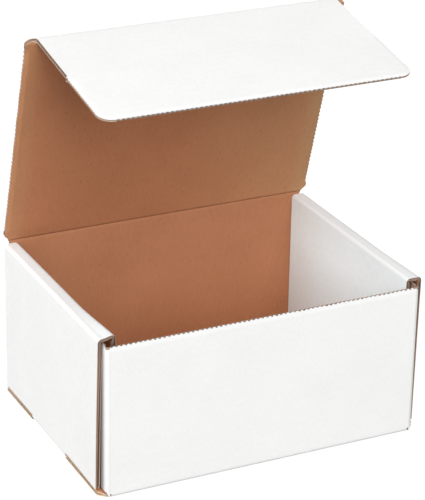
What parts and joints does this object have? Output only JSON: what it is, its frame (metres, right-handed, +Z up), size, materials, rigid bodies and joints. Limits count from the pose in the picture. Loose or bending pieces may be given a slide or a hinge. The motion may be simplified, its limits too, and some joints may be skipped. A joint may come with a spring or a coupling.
{
  "type": "corrugated mailer box",
  "caption": "Roll-end corrugated mailer box with double side walls, a hinged lid and a tuck flap, standing open.",
  "frame": {"origin": "centre of the tray's underside, on the surface that the box stands on", "axes": "+Z up, +X to the right along the front wall, +Y towards the back wall and the lid's hinge"},
  "size_m": [0.224, 0.165, 0.2631],
  "materials": {
    "tray_board": "matt oyster-white corrugated board, kraft brown inside and at its cut edges",
    "lid_board": "matt oyster-white corrugated board, kraft brown inside and at its cut edges",
    "flap_board": "matt oyster-white corrugated board, kraft brown inside and at its cut edges"
  },
  "bodies": {
    "tray": {"tray": "tray_board"},
    "lid": {"lid": "lid_board"},
    "tuck_flap": {"tuck_flap": "flap_board"}
  },
  "joints": [
    {"name": "lid_hinge", "type": "hinge", "parent": "tray", "child": "lid", "pos_m": [0, 0.081, 0.1099], "axis": [-1, 0, 0], "range_deg": [-58, 106.5]},
    {"name": "flap_fold", "type": "hinge", "parent": "lid", "child": "tuck_flap", "pos_m": [0, 0.03593, 0.26206], "axis": [1, 0, 0], "range_deg": [-84, 6]}
  ]
}
